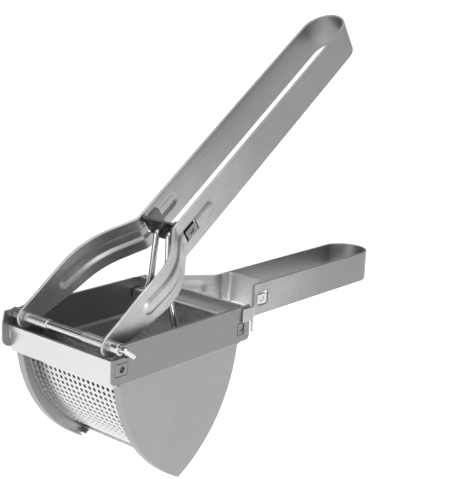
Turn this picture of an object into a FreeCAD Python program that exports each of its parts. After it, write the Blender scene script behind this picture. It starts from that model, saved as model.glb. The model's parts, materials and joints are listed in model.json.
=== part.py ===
import FreeCAD, Part
import math
import os

# Potato ricer: a shield-shaped hopper on a fixed lower handle, and a hinged lever
# whose curved pusher plate presses through the hopper's perforated front wall.
# Everything is stainless sheet, strip and wire.  Sizes are in millimetres.
#
# The model is drawn with X across the hopper, Y from its front to its back and Z up from
# its rim, with Y = 0 on the front rail's face.  ORIGIN moves it to the frame that it is
# saved in: the middle of its length and width, level with its lowest point.

os.makedirs("parts", exist_ok=True)
V = FreeCAD.Vector

# ---- hopper ----------------------------------------------------------------------------
hopper_width = 78.4        # clear width between the two shields
hopper_depth = 100.0       # from the front rail's face to the rear rail's face
hopper_drop = 87.3         # from the rim to the shields' tips
shield_margin = 3.5        # each shield's edge stands in from the rail faces by this
arc_drop = 12.0            # the shield arcs' centres lie this far below the rim
side_sheet = 1.0
band_height = 20.5         # straight band along the top of each side plate
band_step = 0.9            # the band stands out from the shield by this
band_slope = 1.8           # height of the joggle between band and shield
front_reach = 2.6          # the right band's front edge, ahead of the front rail
ear_reach = 5.0            # the left band's ear, ahead of the front rail
ear_lean = 1.7             # how far the ear's top stands behind that
ear_neck = 7.4             # below the rim: where the ear's front edge becomes upright
rear_reach = 5.0           # both bands' rear edge, behind the rear rail
band_corner = 2.6          # radius of the bands' lower corners
ear_corner = 5.0           # radius of the left ear's lower corner
hem_height = 3.0
hem_proud = 0.7
flange_width = 4.0         # inward flange along the shield's arcs
flange_gap = 1.6           # half the relief between the two flanges at the tip
screen_inset = 7.0         # the screen's face, inside the shield's front arc
screen_sheet = 0.8
wall_sheet = 0.8
wall_inset = 7.38          # the rear wall's face, ahead of the rear rail's, level with the rod
rail_sheet = 1.0
rail_top = 8.3             # the front rail's top edge, below the rim
rail_foot = 22.6           # both rails' lower edge, below the rim
rail_lip = 5.0             # lip that stands up along the screen
rear_shelf = 6.5           # the rear rail's shelf, below the rim
rail_corner = 3.0
rail_hem = 2.6
rail_tab_play = 0.35       # around each rail's tab in the side plate's slot
slot_corner = 1.0

# ---- perforation -----------------------------------------------------------------------
hole_d = 2.15
hole_pitch = 3.72
hole_margin = 0.9          # least sheet between the outer holes and the side plates
hole_start = 16.0          # first row, along the screen from the arc centre's level
hole_end_margin = 4.5      # plain sheet between the last row and the keel

# ---- hinge -----------------------------------------------------------------------------
rod_d = 3.2
rod_back = 4.5             # the hinge axis, behind the front rail's face
rod_drop = 3.0             # the hinge axis, below the rim
rod_play = 0.05            # radial clearance of what turns on the rod
rod_leg = 6.3              # the bent end that lies along the right plate
rod_leg_dip = 37.0         # how far that end points down, in degrees
rod_head_d = 6.6
rod_head = 1.4
notch_nose = 3.2           # the notch's upper lip, behind the front rail's face
notch_floor = 7.2          # the notch's lower lip, below the rim
notch_wedge = 3.0          # how far the notch runs back below the rod, behind its seat
side_play = 0.25           # gap on each side of what turns between the plates

# ---- lever -----------------------------------------------------------------------------
strip_sheet = 1.6
strip_width = 21.0
arm_side = 7.9             # centre of each arm's sheet, inside the side plate's band
leg_spread = 13.9          # centre of each leg's sheet, from the middle
arm_bend = 55.0            # along the lever: where the arms turn inward
arm_turn = 37.0            # how much they turn, in degrees
arm_bend_r = 42.0
leg_bend_r = 7.0
arm_end_r = 6.0            # rounded lower end of each arm
arm_taper = 46.0           # along the lever: where the arm has its full width
lever_length = 276.0       # hinge axis to the loop's end
rest_angle = 29.4          # the arms above the horizontal at rest
leg_lift = 5.9             # the legs point this much higher than the arms
lift_at = 82.0             # along the lever: where they begin to
bead_start = 30.0
bead_end = 107.0
bead_width = 7.0
bead_height = 0.7

# ---- lever bracket and wires -----------------------------------------------------------
bracket_at = 82.0
bracket_sheet = 1.5
bracket_return = 13.0
bracket_low = 4.0          # the face's lower edge, below the lever's centre line
bracket_low_half = 7.5
tab_length = 9.0           # tabs clinched through the legs
tab_height = 6.0
tab_proud = 0.6
tab_play = 0.5
bracket_tab_at = 89.0
wire_d = 3.6
wire_hole_play = 0.2
wire_half = 4.5            # half the spacing of the wires at the bracket
wire_in = 3.8              # the right wire, inside the bracket's right-hand return
wire_up = 3.6              # the wire holes, above the lever's centre line
wire_hook = 4.0
wire_bend_r = 2.4
wire_knee_r = 16.0
wire_knee_half = 6.4       # half the spacing of the wires where they begin to spread
wire_foot_in = 10.2        # the wires' feet on the pusher, inside the hopper's sides
wire_splay_drop = 27.0     # how far below the bracket the wires begin to spread

# ---- pusher ----------------------------------------------------------------------------
pusher_sheet = 1.5
pusher_gap = 0.8           # between the pusher and the screen when pressed
pusher_end_gap = 1.2       # between the pusher's edge and the rear wall
press_angle = 8.0          # the arms above the horizontal when pressed
knuckle_sheet = 1.25
knuckle_split = 13.5       # half the length of the centre sleeve
knuckle_gap = 0.3
sleeve_sheet = 0.8
pusher_neck = 15.0         # below the rim: where the pusher joins its curve
pusher_rim = 5.0           # height of the stiffening rim at the pusher's free edge
bush_wall = 1.6

# ---- lower handle ----------------------------------------------------------------------
handle_top = 1.3           # the strip's upper edge, below the rim
handle_width = 20.0
handle_sheet = 1.5
handle_reach = 170.0       # from the side plates' rear edge to the loop's end
handle_splay = 36.0        # from the side plates' rear edge to the straight legs
handle_leg = 14.6          # centre of each leg's sheet, from the middle
handle_wrap = 7.5          # each end laps the outside of the side plate by this
handle_tongue = 8.0        # height of that lap
handle_relief = 13.0       # the strip widens from that to its full width over this
handle_bead_width = 8.0
handle_bead_from = 16.0    # behind the side plates' rear edge
handle_bead_to = 4.5       # ahead of the bend
handle_bead_drop = 8.5     # the bead's middle, below the rim
cross_back = 47.5          # from the side plates' rear edge to the cross plate's face
cross_return = 8.5
cross_low = 2.0            # the plate's lower edge, above the strip's lower edge
cross_tab_back = 43.3

# ---- worked out ------------------------------------------------------------------------
half = hopper_width / 2
band_in = half + band_step
band_out = band_in + side_sheet
shield_half = hopper_depth / 2 - shield_margin
middle_y = hopper_depth / 2
arc_fall = hopper_drop - arc_drop
arc_r = (shield_half ** 2 + arc_fall ** 2) / (2 * shield_half)
front_arc_y = shield_margin + arc_r
rear_arc_y = hopper_depth - front_arc_y
arc_z = -arc_drop
screen_r = arc_r - screen_inset
rod_y = rod_back
rod_z = -rod_drop
wall_r = hopper_depth - rod_back - wall_inset
gap_y = front_arc_y - rod_y
gap_z = arc_z - rod_z
gap = math.hypot(gap_y, gap_z)
to_chord = (wall_r ** 2 - (screen_r - screen_sheet) ** 2 + gap ** 2) / (2 * gap)
half_chord = math.sqrt(wall_r ** 2 - to_chord ** 2)
keel_y = rod_y + (to_chord * gap_y + half_chord * gap_z) / gap
keel_z = rod_z + (to_chord * gap_z - half_chord * gap_y) / gap
pusher_r = screen_r - screen_sheet - pusher_gap
rest_tilt = rest_angle - press_angle
arm_spread = band_in - arm_side
wire_foot_half = half - wire_foot_in
bracket_in = leg_spread - strip_sheet / 2 - bracket_sheet
wire_aside = bracket_in - wire_in - wire_half
lap_end = hopper_depth + rear_reach
handle_end = lap_end + handle_reach
handle_bend = lap_end + handle_splay
cross_at = lap_end + cross_back
cross_tab_at = lap_end + cross_tab_back
mid_length = (handle_end - ear_reach) / 2
rod_leg_x = band_out + hem_proud + rod_d / 2 + 0.1
mid_width = (rod_leg_x + rod_d / 2 - band_out - handle_sheet) / 2
ORIGIN = V(mid_width, mid_length, -hopper_drop)


def save(shape, node):
    moved = shape.copy()
    moved.translate(ORIGIN * -1)
    moved.exportStep("parts/" + node + ".step")


def across(p, q):
    """A point of a section drawn across the hopper: p along Y, q along Z."""
    return V(0, p, q)


def plan(p, q):
    """A point of a section drawn from above: p along Y, q along X."""
    return V(q, p, 0)


def frontal(p, q):
    """A point of a section drawn from the front: p along X, q along Z."""
    return V(p, 0, q)


def offset_path(points, radii, offset, to3d):
    """Edges of a bent path, moved sideways by offset to its left."""
    lines = []
    for start, end in zip(points, points[1:]):
        length = math.hypot(end[0] - start[0], end[1] - start[1])
        ux, uy = (end[0] - start[0]) / length, (end[1] - start[1]) / length
        lines.append((start[0] - uy * offset, start[1] + ux * offset, ux, uy, length))
    last = lines[-1]
    here = (lines[0][0], lines[0][1])
    edges = []
    for (ax, ay, ux, uy, _), (bx, by, vx, vy, _), radius in zip(lines, lines[1:], radii):
        cross = ux * vy - uy * vx
        reach = ((bx - ax) * vy - (by - ay) * vx) / cross
        corner = (ax + ux * reach, ay + uy * reach)
        turn = math.copysign(1, cross)
        r = max(radius - turn * offset, 0.02)
        angle = math.atan2(cross, ux * vx + uy * vy)
        cut = r * math.tan(abs(angle) / 2)
        enter = (corner[0] - ux * cut, corner[1] - uy * cut)
        leave = (corner[0] + vx * cut, corner[1] + vy * cut)
        centre = (enter[0] - uy * turn * r, enter[1] + ux * turn * r)
        mx, my = corner[0] - centre[0], corner[1] - centre[1]
        size = math.hypot(mx, my)
        middle = (centre[0] + mx / size * r, centre[1] + my / size * r)
        if math.hypot(enter[0] - here[0], enter[1] - here[1]) > 1e-4:
            edges.append(Part.LineSegment(to3d(*here), to3d(*enter)).toShape())
        edges.append(Part.Arc(to3d(*enter), to3d(*middle), to3d(*leave)).toShape())
        here = leave
    end = (last[0] + last[2] * last[4], last[1] + last[3] * last[4])
    if math.hypot(end[0] - here[0], end[1] - here[1]) > 1e-4:
        edges.append(Part.LineSegment(to3d(*here), to3d(*end)).toShape())
    return edges


def ends_of(edges):
    first = edges[0].valueAt(edges[0].FirstParameter)
    last = edges[-1].valueAt(edges[-1].LastParameter)
    return first, last


def ribbon(points, radii, left, right, to3d):
    """Flat face of a bent sheet's edge: from right to left of the path through points."""
    one = offset_path(points, radii, left, to3d)
    two = offset_path(points, radii, right, to3d)
    one_start, one_end = ends_of(one)
    two_start, two_end = ends_of(two)
    caps = [Part.LineSegment(one_start, two_start).toShape()]
    caps.append(Part.LineSegment(one_end, two_end).toShape())
    return Part.Face(Part.Wire(Part.__sortEdges__(one + two + caps)))


def outline(points, radii, to3d):
    """Face inside a closed outline with rounded corners; a radius of 0 is a sharp corner."""
    count = len(points)
    edges = []
    leaves = []
    enters = []
    for i in range(count):
        prev, here, after = points[i - 1], points[i], points[(i + 1) % count]
        inward = math.hypot(prev[0] - here[0], prev[1] - here[1])
        onward = math.hypot(after[0] - here[0], after[1] - here[1])
        ux, uy = (prev[0] - here[0]) / inward, (prev[1] - here[1]) / inward
        vx, vy = (after[0] - here[0]) / onward, (after[1] - here[1]) / onward
        angle = math.acos(max(-1, min(1, ux * vx + uy * vy)))
        cut = radii[i] / math.tan(angle / 2) if radii[i] else 0
        enter = (here[0] + ux * cut, here[1] + uy * cut)
        leave = (here[0] + vx * cut, here[1] + vy * cut)
        enters.append(enter)
        leaves.append(leave)
        if radii[i]:
            bx, by = ux + vx, uy + vy
            size = math.hypot(bx, by)
            depth = radii[i] / math.sin(angle / 2) - radii[i]
            middle = (here[0] + bx / size * depth, here[1] + by / size * depth)
            edges.append(Part.Arc(to3d(*enter), to3d(*middle), to3d(*leave)).toShape())
    for i in range(count):
        start, end = leaves[i], enters[(i + 1) % count]
        if math.hypot(end[0] - start[0], end[1] - start[1]) > 1e-4:
            edges.append(Part.LineSegment(to3d(*start), to3d(*end)).toShape())
    return Part.Face(Part.Wire(Part.__sortEdges__(edges)))


def span(face, direction, low, high):
    """Solid swept from a face along direction, between two distances."""
    moved = face.copy()
    moved.translate(direction * low)
    return moved.extrude(direction * (high - low))


def box(x0, x1, y0, y1, z0, z1):
    return Part.makeBox(x1 - x0, y1 - y0, z1 - z0, V(x0, y0, z0))


def mirrored(shape):
    return shape.mirror(V(0, 0, 0), V(1, 0, 0))


def turned(shape, degrees):
    """A shape turned about the hinge axis; positive lifts the lever."""
    copy = shape.copy()
    copy.rotate(V(0, rod_y, rod_z), V(1, 0, 0), degrees)
    return copy


def rod_solid(x0, x1, diameter):
    return Part.makeCylinder(diameter / 2, x1 - x0, V(x0, rod_y, rod_z), V(1, 0, 0))


def arc_point(centre_y, radius, degrees):
    """A point on a shield arc; the angle is measured down from the front's horizontal."""
    turn = math.radians(degrees)
    return centre_y - radius * math.cos(turn), arc_z - radius * math.sin(turn)


def arc_angle(radius, depth):
    """Angle at which an arc of that radius is depth below the rim."""
    return math.degrees(math.asin((depth - arc_drop) / radius))


def sector(radius_out, radius_in, start, end, centre_y=None):
    """Curved wall's section: between two radii about the front arc's centre."""
    centre = front_arc_y if centre_y is None else centre_y
    outer = [arc_point(centre, radius_out, a) for a in (start, (start + end) / 2, end)]
    inner = [arc_point(centre, radius_in, a) for a in (end, (start + end) / 2, start)]
    edges = [
        Part.Arc(*[across(*p) for p in outer]).toShape(),
        Part.LineSegment(across(*outer[2]), across(*inner[0])).toShape(),
        Part.Arc(*[across(*p) for p in inner]).toShape(),
        Part.LineSegment(across(*inner[2]), across(*outer[0])).toShape(),
    ]
    return Part.Face(Part.Wire(edges))


def front_to_back(shape):
    """The same thing at the other end of the hopper."""
    return shape.mirror(V(0, middle_y, 0), V(0, 1, 0))


# ---- side plates -----------------------------------------------------------------------
tip_angle = math.degrees(math.asin(arc_fall / arc_r))
flange_start = arc_angle(arc_r, rail_foot + 0.4)
flange_end = math.degrees(math.acos((front_arc_y - middle_y + flange_gap) / arc_r))
slot_low = rail_foot - 6.0
slot_high = 9.6
slot_length = 8.6
rear_slot_length = 5.6
plate_x = V(1, 0, 0)


def shield_face():
    """Gothic arch with its band's outline left out: it meets the rim as a rectangle."""
    front_top = across(shield_margin, arc_z)
    rear_top = across(hopper_depth - shield_margin, arc_z)
    front_mid = across(*arc_point(front_arc_y, arc_r, tip_angle / 2))
    tip = across(middle_y, -hopper_drop)
    rear_mid = across(hopper_depth - front_mid.y, front_mid.z)
    edges = [
        Part.Arc(front_top, front_mid, tip).toShape(),
        Part.Arc(tip, rear_mid, rear_top).toShape(),
        Part.LineSegment(rear_top, front_top).toShape(),
    ]
    return Part.Face(Part.Wire(edges))


def band_face(reach, lean, corner):
    """Upper band's outline; its front edge leans back by lean towards the rim."""
    back = hopper_depth + rear_reach
    points = [(lean - reach, 0), (-reach, -ear_neck), (-reach, -band_height), (back, -band_height)]
    points.append((back, 0))
    return outline(points, [0, 4 if lean else 0, corner, band_corner, 0], across)


def side_blank(reach, lean, corner, hem_start):
    """Joggled sheet cut to the band and the shield, with its flange and hem."""
    drawn = [(band_in, 0), (band_in, -band_height), (half, -band_height - band_slope)]
    drawn.append((half, -hopper_drop - 1))
    sheet = span(ribbon(drawn, [1.0, 1.0], side_sheet, 0, frontal), V(0, 1, 0), -20, hopper_depth + 20)
    shape = band_face(reach, lean, corner).extrude(V(60, 0, 0))
    shape = shape.fuse(shield_face().extrude(V(60, 0, 0)))
    shape = shape.fuse(box(0, 60, shield_margin, hopper_depth - shield_margin, -band_height - 1, -1))
    plate = sheet.common(shape)
    flange = span(sector(arc_r, arc_r - side_sheet, flange_start, flange_end), plate_x,
                  half - flange_width, half + side_sheet / 2)
    hem_end = lap_end - handle_wrap - 1
    hem = box(band_out, band_out + hem_proud, hem_start, hem_end, -hem_height, 0)
    return plate.fuse([flange, front_to_back(flange), hem])


def window(y0, y1):
    """Slot that a rail's tab comes out through."""
    points = [(y0, -slot_high), (y0, -slot_low), (y1, -slot_low), (y1, -slot_high)]
    return span(outline(points, [slot_corner] * 4, across), plate_x, 0, 60)


def rail_windows():
    front = window(-rail_tab_play, slot_length)
    rear = window(hopper_depth - rear_slot_length, hopper_depth + rail_tab_play)
    return front.fuse(rear)


rod_hole = rod_solid(0, 60, rod_d + 2 * rod_play)
seat = rod_d / 2 + rod_play
mouth = -front_reach - 1
seat_back = rod_y + seat
notch = [(mouth, 1), (notch_nose, 1), (notch_nose, rod_z + seat), (seat_back, rod_z + seat)]
notch = notch + [(seat_back, rod_z - seat / 2), (seat_back + notch_wedge, -notch_floor - 1.2)]
notch = notch + [(rod_y + 1, -notch_floor), (mouth, -notch_floor)]
notch_face = outline(notch, [0, 0, 0.3, seat - 0.001, 3, 0.4, 3, 0], across)
right_plate = side_blank(front_reach, 0, band_corner, notch_nose).cut(rail_windows())
right_plate = right_plate.cut(span(notch_face, plate_x, 0, 60))
save(right_plate.removeSplitter(), "right_side_plate")

left_hem = rod_y + rod_head_d / 2 + 0.5
left_plate = side_blank(ear_reach, ear_lean, ear_corner, left_hem).cut([rail_windows(), rod_hole])
left_plate = mirrored(left_plate)
save(left_plate.removeSplitter(), "left_side_plate")

# ---- front and rear rails --------------------------------------------------------------
tab_low = slot_low - rail_tab_play
tab_high = slot_high + rail_tab_play
rail_mid = rail_sheet / 2


def rail_tab(x_side, length):
    """Tab through the side plate's slot, bent back into it and staked with a pit."""
    outer = band_out + 0.1
    path = [(rail_mid, band_in - 1), (rail_mid, outer - rail_mid), (length, outer - rail_mid)]
    tab = span(ribbon(path, [rail_sheet], rail_mid, -rail_mid, plan), V(0, 0, 1), -tab_low, -tab_high)
    centre = V(0, length * 0.55, -(tab_low + tab_high) / 2)
    pit = Part.makeCylinder((tab_low - tab_high) * 0.27, 60, centre, plate_x)
    tab = tab.cut(pit)
    return tab if x_side > 0 else mirrored(tab)


def rail_plate(top):
    """Flat front of a rail with rounded lower corners."""
    reach = band_in
    points = [(-reach, -top), (-reach, -rail_foot), (reach, -rail_foot), (reach, -top)]
    face = outline(points, [0, rail_corner, rail_corner, 0], frontal)
    return face.extrude(V(0, rail_sheet, 0))


lip_y = front_arc_y - math.sqrt(screen_r ** 2 - (rail_foot - rail_lip - arc_drop) ** 2)
shelf_path = [(rail_sheet, -rail_foot + rail_mid), (lip_y - rail_mid, -rail_foot + rail_mid)]
shelf_path.append((lip_y - rail_mid, -rail_foot + rail_lip))
shelf = ribbon(shelf_path, [rail_sheet], rail_mid, -rail_mid, across)
shelf_half = half - 0.2
front_rail = rail_plate(rail_top)
hem = box(-band_in, band_in, -rail_sheet, 0, -rail_top - rail_hem, -rail_top)
front_rail = front_rail.fuse([hem, span(shelf, plate_x, -shelf_half, shelf_half)])
for side in (1, -1):
    front_rail = front_rail.fuse(rail_tab(side, slot_length - rail_tab_play))
save(front_rail.removeSplitter(), "front_rail")

wall_top_z = -rear_shelf
wall_top_y = rod_y + 0.01 + math.sqrt((wall_r + wall_sheet) ** 2 - (wall_top_z - rail_sheet - rod_z) ** 2)
rear_face = front_to_back(rail_plate(0))
rear_hem = box(-band_in, band_in, hopper_depth, hopper_depth + rail_sheet, -rail_hem, 0)
shelf_path = [(hopper_depth - rail_sheet, wall_top_z), (wall_top_y + rail_mid, wall_top_z)]
shelf_path.append((wall_top_y + rail_mid, wall_top_z - rail_lip))
shelf = ribbon(shelf_path, [rail_sheet], rail_mid, -rail_mid, across)
rear_rail = rear_face.fuse([rear_hem, span(shelf, plate_x, -shelf_half, shelf_half)])
for side in (1, -1):
    rear_rail = rear_rail.fuse(front_to_back(rail_tab(side, rear_slot_length - rail_tab_play)))
save(rear_rail.removeSplitter(), "rear_rail")

# ---- rear wall and perforated screen ---------------------------------------------------


def wall_sector(radius_out, radius_in, start, end):
    """Section of the rear wall: an arc about the hinge axis, angles below the horizontal."""
    def at(radius, degrees):
        turn = math.radians(degrees)
        return across(rod_y + radius * math.cos(turn), rod_z - radius * math.sin(turn))
    middle = (start + end) / 2
    edges = [
        Part.Arc(at(radius_out, start), at(radius_out, middle), at(radius_out, end)).toShape(),
        Part.LineSegment(at(radius_out, end), at(radius_in, end)).toShape(),
        Part.Arc(at(radius_in, end), at(radius_in, middle), at(radius_in, start)).toShape(),
        Part.LineSegment(at(radius_in, start), at(radius_out, start)).toShape(),
    ]
    return Part.Face(Part.Wire(edges))


wall_start = math.degrees(math.asin((rear_shelf - rod_drop) / wall_r))
wall_end = math.degrees(math.atan2(rod_z - keel_z, keel_y - rod_y)) + 1.6
wall_face = wall_sector(wall_r + wall_sheet, wall_r, wall_start, wall_end)
save(span(wall_face, plate_x, -half, half), "rear_wall")

screen_start = arc_angle(screen_r, rail_foot - rail_lip)
screen_end = math.degrees(math.atan2(arc_z - keel_z, front_arc_y - keel_y)) + 3
screen = span(sector(screen_r, screen_r - screen_sheet, screen_start, screen_end), plate_x, -half, half)
behind_wall = span(wall_sector(wall_r + 30, wall_r, 0, 90), plate_x, -half - 1, half + 1)
screen = screen.cut(behind_wall)
columns = int((hopper_width - 2 * hole_margin - hole_d) / hole_pitch) + 1
keel_arc = math.radians(screen_end - 3) * screen_r
rows = int((keel_arc - hole_end_margin - hole_start) / hole_pitch) + 1
punches = []
for row in range(rows):
    angle = math.degrees((hole_start + row * hole_pitch) / screen_r)
    outer_y, outer_z = arc_point(front_arc_y, screen_r + 2, angle)
    inner_y, inner_z = arc_point(front_arc_y, screen_r - screen_sheet - 2, angle)
    aim = V(0, inner_y - outer_y, inner_z - outer_z)
    for column in range(columns):
        x = (column - (columns - 1) / 2) * hole_pitch
        punches.append(Part.makeCylinder(hole_d / 2, aim.Length, V(x, outer_y, outer_z), aim))
screen = screen.cut(Part.makeCompound(punches))
save(screen, "perforated_screen")

# ---- hinge rod, bushes and sleeve ------------------------------------------------------
dip = math.radians(rod_leg_dip)
leg_end = V(rod_leg_x, rod_y + rod_leg * math.cos(dip), rod_z - rod_leg * math.sin(dip))
rod = rod_solid(-band_out - rod_head, rod_leg_x, rod_d)
elbow_at = V(rod_leg_x, rod_y, rod_z)
elbow = Part.makeSphere(rod_d / 2, elbow_at)
leg = Part.makeCylinder(rod_d / 2, rod_leg, elbow_at, leg_end - elbow_at)
leg_tip = Part.makeSphere(rod_d / 2, leg_end)
head = rod_solid(-band_out - rod_head, -band_out, rod_head_d)
head = head.makeChamfer(rod_head * 0.35, [e for e in head.Edges if e.BoundBox.XMax < -band_out - 0.5])
save(rod.fuse([elbow, leg, leg_tip, head]).removeSplitter(), "hinge_rod")

rod_bore = rod_solid(-60, 60, rod_d + 2 * rod_play)
arm_out = arm_spread + strip_sheet / 2
arm_in = arm_spread - strip_sheet / 2
bush_d = rod_d + 2 * bush_wall
bush = rod_solid(arm_out, band_in - side_play, bush_d).cut(rod_bore)
save(bush, "rod_bush_right")
save(mirrored(bush), "rod_bush_left")
sleeve = rod_solid(-knuckle_split, knuckle_split, rod_d + 2 * (rod_play + sleeve_sheet)).cut(rod_bore)
save(sleeve, "centre_sleeve")

# ---- lever strip -----------------------------------------------------------------------
# Drawn lying level along Y from the hinge axis, then turned up to its rest angle.


def strip_level(p, q):
    return V(q, rod_y + p, rod_z)


def lever_ribbon(points, radii, left, right, width):
    face = ribbon(points, radii, left, right, strip_level)
    return span(face, V(0, 0, 1), -width / 2, width / 2)


turn_in = math.radians(arm_turn)
leg_start = arm_bend + (arm_spread - leg_spread) / math.tan(turn_in)
loop_end = lever_length - strip_sheet / 2
half_path = [(-arm_end_r, arm_spread), (arm_bend, arm_spread), (leg_start, leg_spread)]
half_radii = [arm_bend_r, leg_bend_r]
whole_path = half_path + [(loop_end, leg_spread), (loop_end, -leg_spread)]
whole_path = whole_path + [(p, -q) for p, q in reversed(half_path)]
whole_radii = half_radii + [leg_spread, leg_spread] + half_radii[::-1]
strip = lever_ribbon(whole_path, whole_radii, strip_sheet / 2, -strip_sheet / 2, strip_width)


def bead_strip(start, stop, side, low, high, width):
    """Bar that follows a half of the lever strip between two stations, at some depth."""
    path = [(start, arm_spread), (arm_bend, arm_spread), (leg_start, leg_spread), (stop, leg_spread)]
    bar = lever_ribbon(path, half_radii, high, low, width)
    for along, spread in ((start, arm_spread), (stop, leg_spread)):
        cap = Part.makeCylinder(width / 2, abs(high - low), V(spread + low, rod_y + along, rod_z), V(1, 0, 0))
        bar = bar.fuse(cap)
    return bar if side > 0 else mirrored(bar)


for side in (1, -1):
    outside = strip_sheet / 2
    strip = strip.fuse(bead_strip(bead_start, bead_end, side, outside - 0.2, outside + bead_height, bead_width))
    groove_width = bead_width - 1.6
    strip = strip.cut(bead_strip(bead_start, bead_end, side, -outside - 0.2, -outside + bead_height, groove_width))

profile = [(-arm_end_r, -arm_end_r), (0, -arm_end_r), (arm_taper, -strip_width / 2)]
profile = profile + [(lever_length + 1, -strip_width / 2), (lever_length + 1, strip_width / 2)]
profile = profile + [(arm_taper, strip_width / 2), (0, arm_end_r), (-arm_end_r, arm_end_r)]


def side_level(p, q):
    return V(0, rod_y + p, rod_z + q)


profile_face = outline(profile, [arm_end_r * 0.98, 8, 12, 0, 0, 12, 8, arm_end_r * 0.98], side_level)
strip = strip.common(span(profile_face, plate_x, -60, 60))
tab_slot = box(-60, 60, rod_y + bracket_tab_at - tab_length / 2 - tab_play,
               rod_y + bracket_tab_at + tab_length / 2 + tab_play,
               rod_z - tab_height / 2 - tab_play, rod_z + tab_height / 2 + tab_play)
strip = strip.cut([rod_bore, tab_slot])


def lifted(shape):
    """What lies beyond the lift, turned up with the legs."""
    copy = shape.copy()
    copy.rotate(V(0, rod_y + lift_at, rod_z), V(1, 0, 0), leg_lift)
    return copy


def split_plane(keep_far):
    """Half-space cut at the lift, leaning by half its angle."""
    low, high = (0, 400) if keep_far else (-400, 0)
    cutter = box(-100, 100, low, high, -100, 100)
    cutter.rotate(V(0, 0, 0), V(1, 0, 0), leg_lift / 2)
    cutter.translate(V(0, rod_y + lift_at, rod_z))
    return cutter


def bent_up(shape):
    """A level shape with its part beyond the lift turned up, mitred at the lift."""
    near = shape.cut(split_plane(True))
    far = lifted(shape).cut(split_plane(False))
    return near.fuse(far).removeSplitter()


save(turned(bent_up(strip), rest_angle), "lever_strip")

# ---- lever bracket ---------------------------------------------------------------------
leg_in = leg_spread - strip_sheet / 2
bracket_mid = bracket_sheet / 2
seat_x = leg_in - bracket_mid
u_path = [(bracket_at + bracket_return, seat_x), (bracket_at + bracket_mid, seat_x)]
u_path = u_path + [(bracket_at + bracket_mid, -seat_x), (bracket_at + bracket_return, -seat_x)]
channel = span(ribbon(u_path, [2.0, 2.0], bracket_mid, -bracket_mid, strip_level), V(0, 0, 1),
               -strip_width / 2, strip_width / 2)
face_top = strip_width / 2
trapezoid = [(-leg_in, face_top), (-leg_in, face_top - 4), (-bracket_low_half, -bracket_low)]
trapezoid = trapezoid + [(bracket_low_half, -bracket_low), (leg_in, face_top - 4), (leg_in, face_top)]


def bracket_level(p, q):
    return V(p, 0, rod_z + q)


blank = span(outline(trapezoid, [0, 2, 1.5, 1.5, 2, 0], bracket_level), V(0, 1, 0), 0, rod_y + bracket_at + 3)
ears = box(-60, 60, rod_y + bracket_at + 3, 400, rod_z - tab_height, rod_z + tab_height)
channel = channel.common(blank.fuse(ears))


def leg_tab(along, mid_z, seat, sheet):
    """Tab clinched through the right leg: a stub with a staked square."""
    inner = box(seat - 0.5, seat + sheet + tab_proud, along - tab_length / 2, along + tab_length / 2,
                mid_z - tab_height / 2, mid_z + tab_height / 2)
    pit = box(seat + sheet - 0.2, seat + sheet + tab_proud + 1, along - tab_length / 5,
              along + tab_length / 5, mid_z - tab_height / 5, mid_z + tab_height / 5)
    return inner.cut(pit)


tab = leg_tab(rod_y + bracket_tab_at, rod_z, leg_in, strip_sheet + bead_height)
channel = channel.fuse([tab, mirrored(tab)])
wire_hole_d = wire_d + 2 * wire_hole_play
for side in (1, -1):
    start = V(wire_aside + side * wire_half, 0, rod_z + wire_up)
    channel = channel.cut(Part.makeCylinder(wire_hole_d / 2, 300, start, V(0, 1, 0)))
save(turned(lifted(channel), rest_angle), "lever_bracket")

# ---- pusher ----------------------------------------------------------------------------
# Drawn pressed against the screen, then turned back with the lever to the rest pose.
pusher_half = half - side_play - 0.35
neck_angle = arc_angle(pusher_r, pusher_neck)
edge_reach = wall_r - pusher_end_gap


def pusher_end():
    """Angle at which the pusher's curve comes to its reach from the hinge axis."""
    low, high = neck_angle, 90.0
    while high - low > 1e-6:
        trial = (low + high) / 2
        y, z = arc_point(front_arc_y, pusher_r, trial)
        if math.hypot(y - rod_y, z - rod_z) < edge_reach:
            low = trial
        else:
            high = trial
    return low


end_angle = pusher_end()
neck_y, neck_z = arc_point(front_arc_y, pusher_r - pusher_sheet / 2, neck_angle)
knuckle_r = rod_d / 2 + rod_play + knuckle_sheet
curve = span(sector(pusher_r, pusher_r - pusher_sheet, neck_angle, end_angle), plate_x, -pusher_half, pusher_half)
neck_path = [(rod_y + knuckle_r - pusher_sheet / 2, rod_z), (rod_y + knuckle_r - pusher_sheet / 2, rod_z - 5)]
slope = math.radians(90 + neck_angle)
neck_path.append((neck_y, neck_z))
neck_face = ribbon(neck_path, [3.0], pusher_sheet / 2, -pusher_sheet / 2, across)
neck = span(neck_face, plate_x, -arm_in + knuckle_gap, arm_in - knuckle_gap)
edge_y, edge_z = arc_point(front_arc_y, pusher_r - pusher_sheet, end_angle)
rim_turn = math.radians(end_angle)
rim_end = (edge_y + pusher_rim * math.cos(rim_turn), edge_z + pusher_rim * math.sin(rim_turn))
rim_step = (edge_y - pusher_sheet * 0.6 * math.sin(rim_turn), edge_z + pusher_sheet * 0.6 * math.cos(rim_turn))
rim_far = (rim_step[0] + pusher_rim * math.cos(rim_turn), rim_step[1] + pusher_rim * math.sin(rim_turn))
rim = outline([(edge_y, edge_z), rim_end, rim_far, rim_step], [0, 0, 0, 0], across)
rim = span(rim, plate_x, -pusher_half, pusher_half)
pusher = curve.fuse([neck, rim])
for side in (1, -1):
    low, high = sorted((side * knuckle_split, side * (arm_in - knuckle_gap)))
    pusher = pusher.fuse(rod_solid(low, high, 2 * knuckle_r))
middle_room = rod_solid(-knuckle_split, knuckle_split, 2 * knuckle_r + 2 * knuckle_gap)
pusher = pusher.cut([rod_bore, middle_room])

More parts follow.
